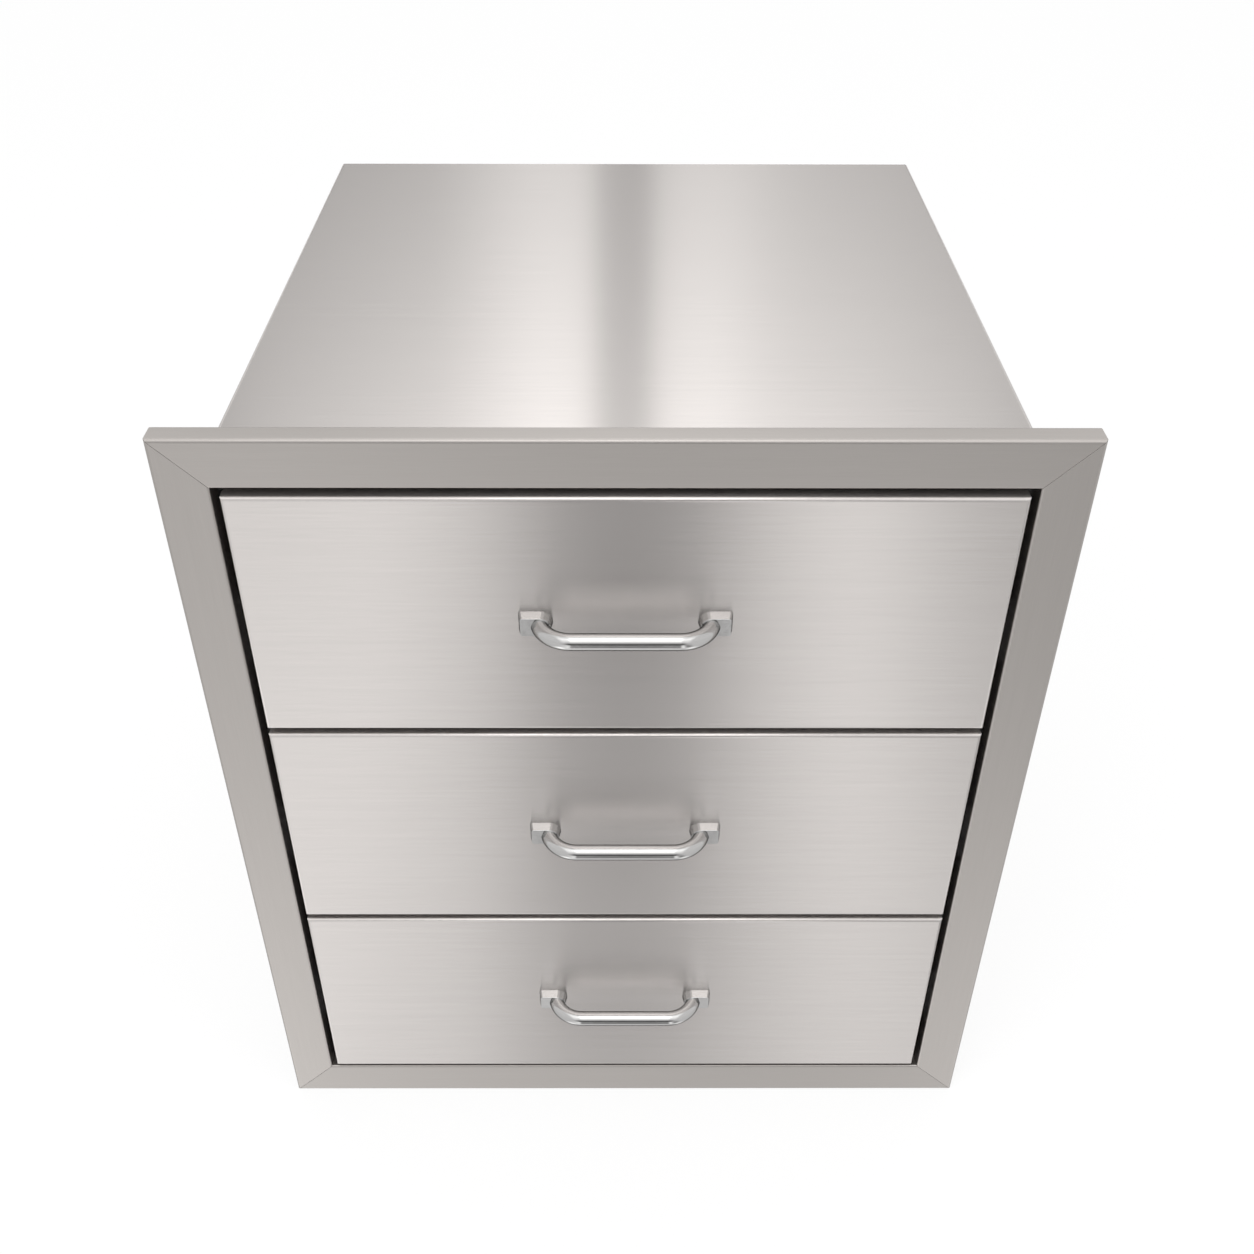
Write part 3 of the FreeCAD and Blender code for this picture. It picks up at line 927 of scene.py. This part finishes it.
@dataclass
class Handle(DrawerPart):
    """Bent round bar on two pads, half round towards the middle."""

    height: float
    leg: float = 49.0
    radius: float = 5.0
    bend: float = 19.4
    face: float = -17.0
    pad: float = 6.0
    outboard: float = 12.7
    inboard: float = 7.3
    nearly_half: float = 7.29
    corner: float = 1.6
    draft: float = 1.25
    soft: float = 1.2
    seat: float = 0.35
    sunk: float = 0.2

    def bar(self) -> Workpiece:
        """The bar, bent round two quarter turns and cut off just inside each pad."""
        part = Workpiece()
        bm = part.bm
        end = self.leg - math.sqrt(self.bend**2 - self.pad**2)
        start = Matrix.Translation((end + self.bend, self.face, self.height))
        ring = bmesh.ops.create_circle(
            bm, cap_ends=False, radius=self.radius, segments=40,
            matrix=start @ Matrix.Rotation(math.pi / 2, 4, "X"),
        )["verts"]
        rim = list({e for v in ring for e in v.link_edges})
        for side in (1, -1):
            last = bmesh.ops.spin(
                bm, geom=rim, cent=(side * end, self.face, self.height), axis=(0, 0, 1),
                angle=math.radians(-90), steps=20, use_duplicate=False, use_merge=False,
            )["geom_last"]
            rim = [g for g in last if isinstance(g, bmesh.types.BMEdge)]
            if side > 0:
                drawn = bmesh.ops.extrude_edge_only(bm, edges=rim)["geom"]
                ahead = part.advance(drawn, (-2 * end, 0.0, 0.0))
                edges = [g for g in drawn if isinstance(g, bmesh.types.BMEdge)]
                rim = [e for e in edges if all(v in ahead for v in e.verts)]
        bmesh.ops.remove_doubles(bm, verts=list(bm.verts), dist=1e-4)
        return part.cut((0.0, self.face - self.pad + self.sunk, 0.0), (0.0, 1.0, 0.0))

    def pads(self) -> Workpiece:
        """Both pads, cast with a draft, so that their sides lean in towards the front faces."""
        out, back = self.leg + self.outboard, self.leg - self.inboard
        low, high = self.height - self.inboard, self.height + self.inboard
        front = self.face - self.pad
        pad = Workpiece().outline(
            [(back, low), (out, low), (out, high), (back, high)], Axis.Y, (self.face, front),
            {0: self.nearly_half, 3: self.nearly_half, 1: self.corner, 2: self.corner}, 10,
        )
        crown = [v for v in pad.bm.verts if abs(v.co.y - front) < 1e-3]
        middle = Vector(((back + out) / 2, front, self.height))
        smaller = (1 - 2 * self.draft / (out - back), 1.0, 1 - 2 * self.draft / (high - low))
        bmesh.ops.scale(pad.bm, vec=smaller, space=Matrix.Translation(-middle), verts=crown)
        pad.bevel(pad.edges_in(Axis.Y, front), self.soft, 3)
        pad.bevel(pad.edges_in(Axis.Y, self.face), self.seat, 1)
        return pad.paired()

    def make(self) -> None:
        """Build and dress the handle."""
        self.dressed(self.bar(), "bent_bar", POLISHED, "handle_bar")
        self.dressed(self.pads(), "handle_pads", BASE_POLISH, "handle_bases", sharp=60.0)


@dataclass(frozen=True)
class Section:
    """Section of a slide member. Lengths across the unit are counted inwards from the uprights."""

    web: float
    edge: float
    half: float
    lip: float | None
    sheet: float


@dataclass
class Slides(DrawerPart):
    """Both telescopic slides of one drawer, with their cages and levers."""

    height: float
    side: float = 223.3
    front: float = 4.0
    rear: float = 454.0
    fixed: Section = Section(web=0.0, edge=10.6, half=22.5, lip=18.1, sheet=1.2)
    middle: Section = Section(web=2.6, edge=11.3, half=17.7, lip=13.5, sheet=1.0)
    inner: Section = Section(web=12.7, edge=5.0, half=13.1, lip=None, sheet=1.0)
    middle_short: float = 5.5
    inner_short: float = 10.0
    bend: float = 0.4
    fixed_holes: Spot = (120.0, 340.0)
    fixed_hole_radius: float = 2.5
    hole_margin: float = 2.0
    broken: float = 0.1
    middle_holes: tuple[float, ...] = (41.5, 429.5, 350.0)
    rivet_places: tuple[float, ...] = (30.0, 235.0, 420.0)
    rivet_radii: Spot = (3.4, 2.6)
    rivet_head: float = 0.9
    rivet_soft: float = 0.25
    pin_radius: float = 1.5
    pin_length: float = 2.6
    cage_limits: Spot = (112.0, 312.0)
    cages: tuple[tuple[str, float, float, float], ...] = (
        ("outer", 1.65, 9.0, 19.5), ("inner", 4.05, 9.9, 14.9)
    )
    cage_sheet: float = 0.5
    cage_broken: float = 0.08
    bridge: float = 16.0
    balls: int = 8
    ball_radius: float = 1.5
    ball_margin: float = 14.0
    lever_place: float = 192.0
    lever_faces: Spot = (11.4, 9.4)
    lever_edge: tuple[Spot, ...] = (
        (8.0, 1.8), (3.2, 3.2), (-3.2, 3.2), (-30.0, 1.8), (-30.0, 4.6), (-39.0, 4.6)
    )
    tab_round: float = 1.8
    tail_round: float = 0.9
    lever_soft: float = 0.35

    def x(self, t: float) -> float:
        """Place across the unit of a point in the right slide's section."""
        return self.side - t

    def member(
        self, section: Section, rear: float, access: Sequence[float] = (), radius: float = 4.5
    ) -> Workpiece:
        """Rolled member of the right slide.

        Args:
            section: Its section.
            rear: Its rear end.
            access: Places of the round holes in its web.
            radius: Radius of those holes.

        Returns:
            The member.
        """
        web, edge, half, lip = section.web, section.edge, section.half, section.lip
        points = [(edge, -half), (web, -half), (web, half), (edge, half)]
        if lip is not None:
            points = [(edge, -lip), *points, (edge, lip)]
        path = [(self.x(t), z + self.height) for t, z in points]
        sheet = -section.sheet if web > edge else section.sheet
        bends = [self.bend + section.sheet] * (len(path) - 2)

        def punch(part: Workpiece) -> None:
            """Open the holes in the web's skin."""
            for y in access:
                part.hole((self.x(web), y, self.height), Axis.X, radius, radius + self.hole_margin)

        return Workpiece().folded(
            path, Axis.Y, (self.front, rear), sheet, bends, 3, punch
        ).break_edges(self.broken)

    def inners(self) -> Workpiece:
        """Inner member of the right slide, with its rivets and the lever's pin."""
        inner = self.member(self.inner, self.rear - self.inner_short)
        inside = self.inner.web - self.inner.sheet
        for y in self.rivet_places:
            middle = (self.x(inside - self.rivet_head / 2), y, self.height)
            head = Workpiece().drum(middle, Axis.X, self.rivet_radii, self.rivet_head, 20)
            crown = head.edges_in(Axis.X, self.x(inside - self.rivet_head))
            inner.join(head.bevel(crown, self.rivet_soft, 2))
        middle = (self.x(inside - self.pin_length / 2), self.lever_place, self.height)
        return inner.drum(middle, Axis.X, (self.pin_radius, self.pin_radius), self.pin_length, 20)

    def cage(self, bridge: float, edge: float, row: float) -> Workpiece:
        """Cage of the right slide: two pressed strips with their balls, and a bridge at the rear.

        Args:
            bridge: Place of the bridge's outer side.
            edge: How far the strips reach.
            row: Distance of the ball rows from the middle.

        Returns:
            The cage.
        """
        start, end = self.cage_limits
        half, h = self.cage_sheet / 2, self.height
        inside = self.x(bridge + self.cage_sheet)
        cage = Workpiece().block((inside, end - self.bridge, h - row), (self.x(bridge), end, h + row))
        middle = (self.x(edge) + self.x(bridge)) / 2
        step = (end - start - self.bridge - 2 * self.ball_margin) / (self.balls - 1)
        for side in (-1, 1):
            z = h + side * row
            cage.block((self.x(edge), start, z - half), (self.x(bridge), end, z + half))
            cage.break_edges(self.cage_broken)
            for number in range(self.balls):
                place = (middle, start + self.ball_margin + number * step, z)
                bmesh.ops.create_uvsphere(
                    cage.bm, u_segments=12, v_segments=8, radius=self.ball_radius,
                    matrix=Matrix.Translation(place),
                )
        return cage

    def lever(self) -> Workpiece:
        """Release lever of the right slide, its thumb tab towards the front."""
        y, z = self.lever_place, self.height
        lower = tuple((a, -b) for a, b in reversed(self.lever_edge))
        spots = [(y + a, z + b) for a, b in self.lever_edge + lower]
        faces = (self.x(self.lever_faces[0]), self.x(self.lever_faces[1]))
        rounds = {5: self.tab_round, 6: self.tab_round, 0: self.tail_round, 11: self.tail_round}
        return Workpiece().outline(spots, Axis.X, faces, rounds).break_edges(self.lever_soft, 2)

    def make(self) -> None:
        """Build and dress the slides."""
        name = self.name
        fixed = self.member(self.fixed, self.rear, self.fixed_holes, self.fixed_hole_radius)
        fixed.finished_on_each_side(f"{name}_fixed_rail_{{}}", ZINC, "cabinet", f"{name}_slide_outer_{{}}")
        middle = self.member(self.middle, self.rear - self.middle_short, self.middle_holes).paired()
        self.dressed(middle, "middle_rails", ZINC, "slide_intermediates", "intermediates")
        self.dressed(self.inners().paired(), "drawer_rails", ZINC, "slide_inners")
        for place, *sizes in self.cages:
            cage = self.cage(*sizes).paired()
            self.dressed(cage, f"{place}_ball_strips", CAGE, f"ball_cages_{place}", f"{place}_cages")
        self.lever().finished_on_each_side(
            f"{name}_thumb_lever_{{}}", LEVER, f"{name}_lever_{{}}", f"{name}_release_lever_{{}}"
        )


@dataclass
class Fixings:
    """Screws and rubber stops in the fixed rails."""

    heights: Sequence[float]
    side: float = 223.3
    web: float = 1.2
    head: float = 0.9
    head_radii: Spot = (3.0, 3.5)
    head_soft: float = 0.25
    socket_wall: float = 1.2
    socket_depth: float = 0.5
    places: Spot = (41.5, 429.5)
    rear: float = 454.0
    stop: Point = (6.0, 5.0, 16.0)
    stop_soft: float = 0.7

    def screws(self) -> Workpiece:
        """Low heads with a round socket."""
        heads = Workpiece()
        inner = self.side - self.web - self.head
        for height in self.heights:
            for y in self.places:
                middle = (inner + self.head / 2, y, height)
                head = Workpiece().drum(middle, Axis.X, self.head_radii, self.head)
                head.bevel(head.edges_in(Axis.X, inner), self.head_soft, 2)
                crown = min(head.bm.faces, key=lambda f: f.calc_center_median().x)
                bmesh.ops.inset_individual(head.bm, faces=[crown], thickness=self.socket_wall)
                head.advance(crown.verts, (self.socket_depth, 0.0, 0.0))
                heads.join(head)
        return heads.paired()

    def stops(self) -> Workpiece:
        """Rubber blocks with soft edges."""
        blocks = Workpiece()
        wide, long, tall = self.stop
        for height in self.heights:
            blocks.block(
                (self.side - self.web - wide, self.rear - long, height - tall / 2),
                (self.side - self.web, self.rear, height + tall / 2),
            )
        return blocks.break_edges(self.stop_soft, 3).paired()

    def make(self) -> None:
        """Build and dress the fixings."""
        self.screws().finished("rail_screws", SCREW, "cabinet", ["slide_screws"])
        self.stops().finished("rubber_stops", RUBBER, "cabinet", ["slide_stops"])


@dataclass(frozen=True)
class Zone:
    """Part of the light tent, over a range of angles about the X axis.

    An angle is 0 level in front, 90 overhead, 180 level behind and -90 straight down. The zone takes over
    from the one before it between its two angles. Its levels go by how far to the side light comes from.
    """

    name: str
    begins: Spot
    levels: Sequence[Spot]


def even(*left: Spot) -> tuple[Spot, ...]:
    """Levels that are the same to the left and right, from those of the left."""
    return left + tuple((-place, level) for place, level in reversed(left))


# Far to the left and right the tent is plain. The sheet's lines draw what is nearer the middle into bands.
TENT = (
    Zone("pale_floor_behind", (-180.0, -180.0), even((-0.45, 0.75), (-0.35, 1.2))),
    Zone("dark_stand_below", (-125.0, -112.0), even((-0.50, 0.75), (-0.12, 0.85), (-0.08, 0.35))),
    Zone("pale_sweep_below", (-86.0, -76.0), (
        (-0.55, 0.75), (-0.45, 1.5), (-0.35, 1.85), (-0.25, 1.42), (-0.17, 0.92), (-0.10, 1.08),
        (-0.05, 1.04), (0.05, 0.99), (0.10, 0.80), (0.17, 0.74), (0.25, 1.12), (0.35, 1.6), (0.45, 1.3),
        (0.55, 0.75),
    )),
    # The screens in front stand to the left and right of the dark camera.
    Zone("screens_beside_camera", (-58.0, -43.0), (
        (-0.50, 0.75), (-0.35, 0.90), (-0.25, 0.98), (-0.17, 1.23), (-0.10, 0.92), (-0.05, 0.38),
        (0.0, 0.23), (0.05, 0.31), (0.10, 0.92), (0.17, 1.34), (0.25, 0.68), (0.33, 0.32), (0.42, 0.40),
        (0.55, 0.75),
    )),
    Zone("dark_gap_over_screens", (-10.0, -3.0), even((-0.50, 0.75), (-0.35, 0.6), (-0.15, 0.09))),
    Zone("diffuser_overhead", (8.0, 45.0), even((-0.50, 0.8), (-0.36, 1.2), (-0.13, 1.2), (-0.09, 1.5))),
    Zone("strip_light_overhead", (50.0, 60.0), even((-0.50, 0.8), (-0.36, 1.5), (-0.12, 1.5), (-0.09, 3.0))),
    Zone("pale_ceiling", (76.0, 90.0), even((-0.50, 0.8), (-0.36, 1.0), (-0.13, 1.0), (-0.09, 1.3))),
    # Two diffusers hang behind, with a narrow gap between them.
    Zone("diffusers_behind", (115.0, 128.0), (
        (-0.50, 0.8), (-0.36, 1.35), (-0.32, 0.62), (-0.25, 1.04), (-0.20, 1.22), (-0.13, 1.46),
        (-0.06, 1.90), (-0.025, 1.84), (-0.019, 0.98), (0.018, 0.94), (0.024, 1.78), (0.06, 1.80),
        (0.10, 1.53), (0.17, 1.37), (0.25, 1.10), (0.31, 0.78), (0.36, 1.35), (0.50, 0.8),
    )),
    Zone("dim_wall_behind", (145.0, 164.0), (
        (-0.50, 0.75), (-0.36, 1.0), (-0.31, 0.10), (-0.13, 0.08), (-0.08, 0.26), (-0.02, 0.33),
        (-0.015, 0.18), (0.015, 0.18), (0.02, 0.30), (0.08, 0.30), (0.13, 0.18), (0.31, 0.10),
        (0.36, 1.0), (0.50, 0.75),
    )),
)


@dataclass
class Studio:
    """Camera, backdrop and lamps."""

    eye: Point = (-1.81, -647.90, 915.47)
    pitch: float = 37.419
    yaw: float = 0.237
    roll: float = 0.174
    lens: float = 39.504
    floor: float = -22.6
    floor_half: float = 6.0
    floor_glow: float = 0.82
    reach: float = 1.0
    brightest: float = 3.0
    lamp_size: float = 1.6
    aim: Point = (0.0, 200.0, 250.0)
    lamps: tuple[tuple[str, Point, float], ...] = (
        ("key_softbox", (-1400.0, -1500.0, 2300.0), 26.0),
        ("fill_softbox", (1700.0, -900.0, 1700.0), 12.0),
    )

    def camera(self) -> None:
        """Place the camera as the photograph's was."""
        p, w, r = (math.radians(a) for a in (self.pitch, self.yaw, self.roll))
        ahead = Vector((math.sin(w) * math.cos(p), math.cos(w) * math.cos(p), -math.sin(p)))
        right = Vector((math.cos(w), -math.sin(w), 0.0))
        up = right.cross(ahead)
        tilted_right = right * math.cos(r) + up * math.sin(r)
        tilted_up = up * math.cos(r) - right * math.sin(r)
        matrix = Matrix((tilted_right, tilted_up, -ahead)).transposed().to_4x4()
        matrix.translation = Vector(self.eye) * MM
        data = bpy.data.cameras.new("camera")
        data.sensor_width = 36.0
        data.lens = self.lens
        data.clip_start = 0.01
        camera = placed("camera", data)
        camera.matrix_world = matrix
        bpy.context.scene.camera = camera

    def world(self) -> None:
        """White backdrop for the camera, and a light tent round the unit for all else."""
        world = bpy.data.worlds.new("studio")
        bpy.context.scene.world = world
        tree = emptied(world)
        way = node(tree, "SeparateXYZ", inputs={0: node(tree, "TexCoord").outputs["Generated"]})
        x, y, z = way.outputs
        ahead = node(tree, "Math", {"operation": "MULTIPLY"}, {0: y, 1: -1.0})
        turn = node(tree, "Math", {"operation": "ARCTAN2"}, {0: z, 1: ahead})
        across = node(tree, "MapRange", inputs={"Value": x, "From Min": -self.reach, "From Max": self.reach})
        light: Source | None = None
        for zone in TENT:
            stops = [(0.5 + place / self.reach / 2, level / self.brightest) for place, level in zone.levels]
            levels = ramp(tree, across, stops)
            if light is None:
                light = levels
                continue
            start, end = (math.radians(angle) for angle in zone.begins)
            share = node(tree, "MapRange", inputs={"Value": turn, "From Min": start, "From Max": end})
            mixed = node(tree, "Mix", {"data_type": "RGBA"}, {0: share, 6: light, 7: levels})
            light = mixed.outputs[2]
        tent = node(tree, "Background", inputs={"Color": light, "Strength": self.brightest})
        white = node(tree, "Background", inputs={"Color": (1.0, 1.0, 1.0, 1.0), "Strength": 1.0})
        seen = node(tree, "LightPath").outputs["Is Camera Ray"]
        shown = node(tree, "MixShader", inputs={0: seen, 1: tent, 2: white})
        node(tree, "OutputWorld", inputs={"Surface": shown})

    def ground(self) -> None:
        """Pale floor that keeps the shadow."""
        sweep = bmesh.new()
        bmesh.ops.create_grid(sweep, x_segments=8, y_segments=8, size=self.floor_half)
        bmesh.ops.translate(sweep, verts=list(sweep.verts), vec=(0.0, 0.0, self.floor * MM))
        mesh = bpy.data.meshes.new("studio_floor")
        sweep.to_mesh(mesh)
        sweep.free()
        floor = placed("studio_floor", mesh)
        paint = bpy.data.materials.new("white_studio_floor")
        tree = emptied(paint)
        path = node(tree, "LightPath")
        matt = node(tree, "BsdfDiffuse", inputs={"Color": linear("#F2F2F2")})
        glow = node(tree, "Emission", inputs={"Color": (1.0, 1.0, 1.0, 1.0), "Strength": 1.0})
        through = node(tree, "BsdfTransparent")
        camera, *mirrors = (path.outputs[f"Is {kind} Ray"] for kind in ("Camera", "Glossy", "Transmission"))
        pale = node(tree, "MixShader", inputs={0: self.floor_glow, 1: matt, 2: glow})
        shown = node(tree, "MixShader", inputs={0: camera, 1: matt, 2: pale})
        mirror = node(tree, "Math", {"operation": "MAXIMUM"}, dict(enumerate(mirrors)))
        both = node(tree, "MixShader", inputs={0: mirror, 1: shown, 2: through})
        node(tree, "OutputMaterial", inputs={"Surface": both})
        mesh.materials.append(paint)

    def light(self) -> None:
        """Soft lamps, which the metal doesn't mirror."""
        for name, place, watts in self.lamps:
            data = bpy.data.lights.new(name, "AREA")
            data.shape = "SQUARE"
            data.size = self.lamp_size
            data.energy = watts
            lamp = placed(name, data)
            lamp.location = Vector(place) * MM
            aim = Vector(self.aim) * MM - lamp.location
            lamp.rotation_euler = aim.to_track_quat("-Z", "Y").to_euler()
            lamp.visible_camera = False
            lamp.visible_glossy = False

    def make(self) -> None:
        """Set up the whole studio."""
        bpy.context.scene.view_settings.view_transform = "Standard"
        self.camera()
        self.world()
        self.ground()
        self.light()


def dress(name: str, finish: Finish) -> None:
    """Give a node of the frame that keeps its shape a finish."""
    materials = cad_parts[name].data.materials
    if not materials:
        materials.append(finish.material())
    for number in range(len(materials)):
        materials[number] = finish.material()
    log.info("%s: kept, with %s", name, finish.name)


@dataclass
class Drawers:
    """The three drawers, one above the other, on their slides."""

    names: Sequence[str] = ("bottom", "middle", "top")
    first: float = 12.0
    gap: float = 4.5
    box_rise: float = 14.0
    slide_rise: float = 60.0

    def make(self) -> None:
        """Build and dress every drawer with its slides, then the fixings of all slides."""
        lows = [self.first + number * (Front.height + self.gap) for number in range(len(self.names))]
        for name, low in zip(self.names, lows):
            Front(name, low).make()
            Box(name, low + self.box_rise).make()
            Handle(name, low + Front.height / 2).make()
            Slides(name, low + self.slide_rise).make()
            dress(f"{name}_handle_screws", SCREW)
        Fixings([low + self.slide_rise for low in lows]).make()


def main() -> None:
    """Build the scene piece by piece."""
    logging.basicConfig(level=logging.INFO, format="%(message)s")
    Studio().make()
    Trim().make()
    Cabinet().make()
    Drawers().make()


if __name__ == "__main__":
    main()
